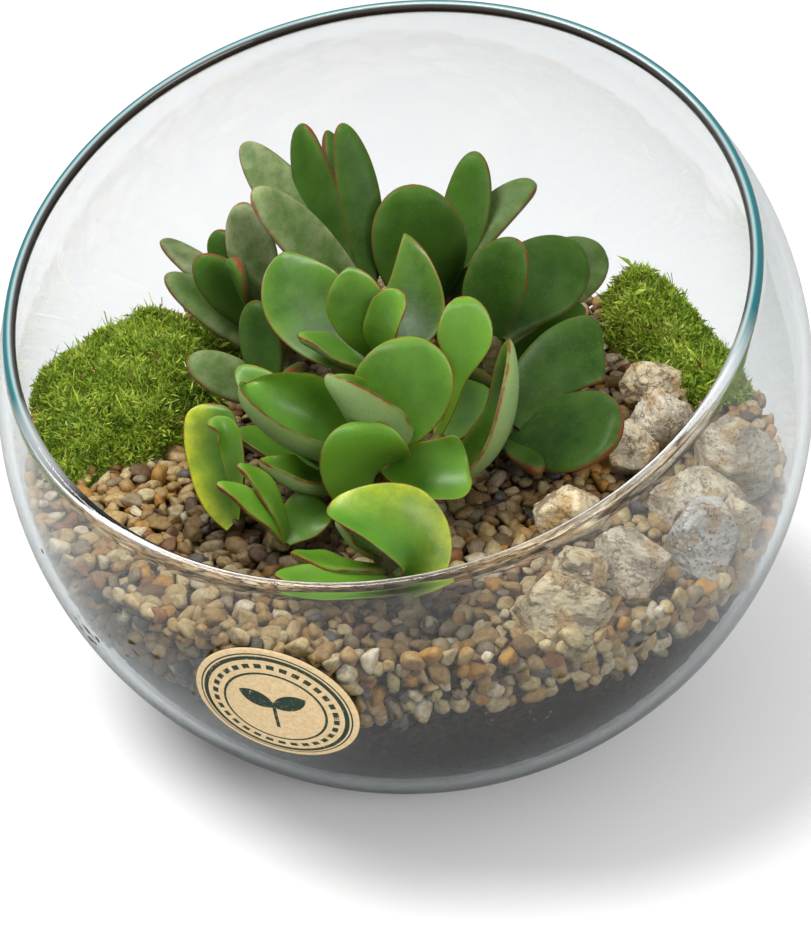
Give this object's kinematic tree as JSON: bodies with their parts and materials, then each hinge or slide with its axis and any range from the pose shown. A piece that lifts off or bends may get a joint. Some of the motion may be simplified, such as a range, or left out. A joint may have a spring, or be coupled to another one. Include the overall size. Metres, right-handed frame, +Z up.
{
  "type": "glass plant terrarium",
  "caption": "Round clear glass bowl with a sloping open mouth, filled with soil and gravel and planted with wavy-leaved and smooth-leaved succulents, stones and moss.",
  "frame": {"origin": "middle of the flat foot that the bowl stands on", "axes": "+Z is up, and the sloping mouth is lowest towards -Y, where the label is; +X is to the right when seen from the label side"},
  "size_m": [0.2284, 0.2298, 0.1894],
  "materials": {
    "clear_glass": "clear, polished",
    "kraft_paper": "matt kraft with printed dark green rings",
    "dark_soil": "dark brown crumbly potting soil",
    "mixed_gravel": "rounded pebbles, tan, white and grey",
    "rough_stone": "broken granite, speckled beige and grey",
    "green_moss": "soft tufted moss",
    "bright_leaf": "waxy bright green with red-brown margins",
    "dark_leaf": "waxy dark green with reddish margins"
  },
  "bodies": {
    "root": {"glass_bowl": "clear_glass", "paper_label": "kraft_paper", "soil": "dark_soil", "gravel": "mixed_gravel", "stone_1": "rough_stone", "stone_2": "rough_stone", "stone_3": "rough_stone", "stone_4": "rough_stone", "stone_5": "rough_stone", "stone_6": "rough_stone", "stone_7": "rough_stone", "stone_8": "rough_stone", "stone_9": "rough_stone", "stone_10": "rough_stone", "stone_11": "rough_stone", "moss_left": "green_moss", "moss_right": "green_moss", "moss_back": "green_moss", "wavy_stem_back": "bright_leaf", "wavy_stem_middle": "bright_leaf", "wavy_stem_right": "bright_leaf", "wavy_stem_front": "bright_leaf", "wavy_stem_left": "bright_leaf", "wavy_stem_far_left": "bright_leaf", "smooth_stem_left": "dark_leaf", "smooth_stem_middle": "dark_leaf", "smooth_stem_back": "dark_leaf", "smooth_stem_right": "dark_leaf", "smooth_stem_low_right": "dark_leaf", "smooth_stem_low_left": "dark_leaf"}
  },
  "joints": []
}
